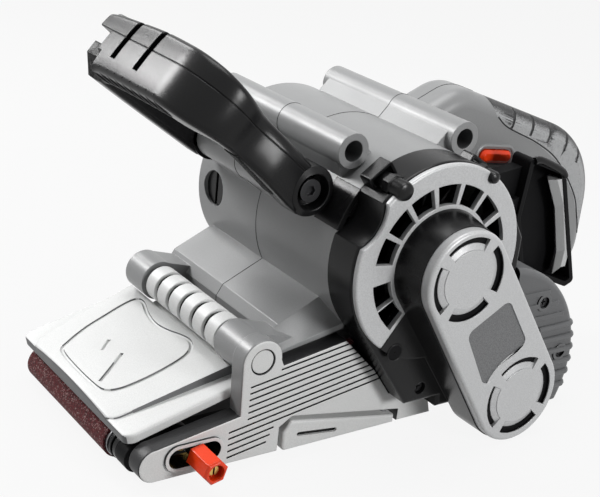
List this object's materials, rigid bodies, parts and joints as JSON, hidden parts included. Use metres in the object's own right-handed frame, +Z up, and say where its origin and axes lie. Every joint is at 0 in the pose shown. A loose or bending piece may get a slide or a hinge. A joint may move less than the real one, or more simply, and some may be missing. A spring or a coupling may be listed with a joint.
{
  "type": "belt sander",
  "caption": "Hand held electric belt sander with a narrow nose, swinging front handle, looped rear handle, guarded belt drive and two clamp tubes.",
  "frame": {"origin": "on the sole, midway between the two roller axes, on the centre line of the sanding belt", "axes": "+X towards the rear handle, +Y to the operator's right, +Z up from the sole"},
  "size_m": [0.3782, 0.1895, 0.2178],
  "materials": {
    "silver_plastic": "fine spark texture, satin",
    "silver_paint": "silver paint on plastic, satin",
    "grey_plastic": "moulded, fine spark texture",
    "black_plastic": "moulded, satin",
    "dark_plastic": "moulded, ribbed, satin",
    "pale_plastic": "moulded, satin",
    "red_plastic": "moulded, semi gloss",
    "black_rubber": "moulded rubber, fine texture",
    "abrasive": "cloth backed abrasive grit",
    "cork_pad": "pressed cork",
    "cast_alloy": "die cast",
    "plain_steel": "turned or stamped steel",
    "yellow_brass": "turned brass and copper",
    "carbon": "pressed carbon"
  },
  "bodies": {
    "base": {"side_panel": "silver_plastic", "hinge_pin": "silver_plastic", "fan_cover": "silver_paint", "belt_cover_plate": "silver_paint", "housing_left": "grey_plastic", "housing_right": "grey_plastic", "end_housing": "black_plastic", "end_housing_clips": "black_plastic", "belt_cover": "black_plastic", "dust_port": "black_plastic", "switch_body": "black_plastic", "brush_holders": "black_plastic", "brush_caps": "black_plastic", "rear_cover": "dark_plastic", "dust_port_liner": "pale_plastic", "rear_grip": "black_rubber", "drive_belt": "black_rubber", "cord_inlet": "black_rubber", "sanding_belt": "abrasive", "platen_pad": "cork_pad", "base_frame": "cast_alloy", "platen_plate": "plain_steel", "tension_spring": "plain_steel", "lever_pin": "plain_steel", "drive_bearings": "plain_steel", "motor_bearings": "plain_steel", "body_screws": "plain_steel", "cover_screws": "plain_steel", "handle_bolts": "plain_steel", "stator": "plain_steel", "field_coils": "yellow_brass", "carbon_brushes": "carbon"},
    "yoke": {"front_yoke": "cast_alloy", "front_axle": "plain_steel"},
    "nose_roller": {"front_roller": "plain_steel", "front_roller_bushes": "yellow_brass"},
    "tracking": {"tracking_knob": "red_plastic", "tracking_screw": "yellow_brass"},
    "lever": {"release_lever": "silver_plastic"},
    "drive": {"drive_roller": "cast_alloy", "drive_roller_sleeve": "black_rubber", "drive_shaft": "plain_steel", "driven_pulley": "plain_steel"},
    "rotor": {"armature": "plain_steel", "commutator": "yellow_brass", "motor_shaft": "plain_steel", "cooling_fan": "black_plastic", "motor_pulley": "plain_steel"},
    "nose": {"nose_cover": "silver_plastic"},
    "bail": {"front_handle": "black_plastic"},
    "switch_trigger": {"trigger": "black_plastic"},
    "lock": {"lock_button": "red_plastic"}
  },
  "joints": [
    {"name": "belt_release", "type": "hinge", "parent": "base", "child": "lever", "pos_m": [0.046, -0.0845, 0.008], "axis": [0, 0, 1], "range_deg": [0, 75]},
    {"name": "belt_tension", "type": "slide", "parent": "base", "child": "yoke", "axis": [1, 0, 0], "range_m": [0, 0.006]},
    {"name": "front_roller_spin", "type": "hinge", "parent": "yoke", "child": "nose_roller", "pos_m": [-0.1077, 0, 0.0108], "axis": [0, 1, 0], "continuous": true},
    {"name": "tracking_turn", "type": "hinge", "parent": "yoke", "child": "tracking", "pos_m": [-0.084, -0.09, 0.0175], "axis": [0, 1, 0], "range_deg": [-720, 720]},
    {"name": "drive_roller_spin", "type": "hinge", "parent": "base", "child": "drive", "pos_m": [0.1077, 0, 0.031], "axis": [0, 1, 0], "continuous": true},
    {"name": "motor_spin", "type": "hinge", "parent": "base", "child": "rotor", "pos_m": [0.0528, 0, 0.113], "axis": [0, 1, 0], "continuous": true},
    {"name": "nose_cover_lift", "type": "hinge", "parent": "base", "child": "nose", "pos_m": [-0.0461, 0, 0.0635], "axis": [0, 1, 0], "range_deg": [0, 95]},
    {"name": "front_handle_swing", "type": "hinge", "parent": "base", "child": "bail", "pos_m": [-0.0109, 0, 0.1486], "axis": [0, 1, 0], "range_deg": [-25, 25]},
    {"name": "trigger_press", "type": "slide", "parent": "base", "child": "switch_trigger", "axis": [0.9701, 0, 0.2425], "range_m": [0, 0.006], "stiffness_N_per_m": 600, "springref_m": -0.002},
    {"name": "lock_press", "type": "slide", "parent": "base", "child": "lock", "axis": [0, 1, 0], "range_m": [0, 0.003], "stiffness_N_per_m": 600, "springref_m": -0.002}
  ],
  "couplings": [
    {"joint": "motor_spin", "follows": "drive_roller_spin", "ratio": 3.1429},
    {"joint": "front_roller_spin", "follows": "drive_roller_spin", "ratio": 2.9612},
    {"joint": "belt_release", "follows": "belt_tension", "rad_per_m": 218.17}
  ]
}
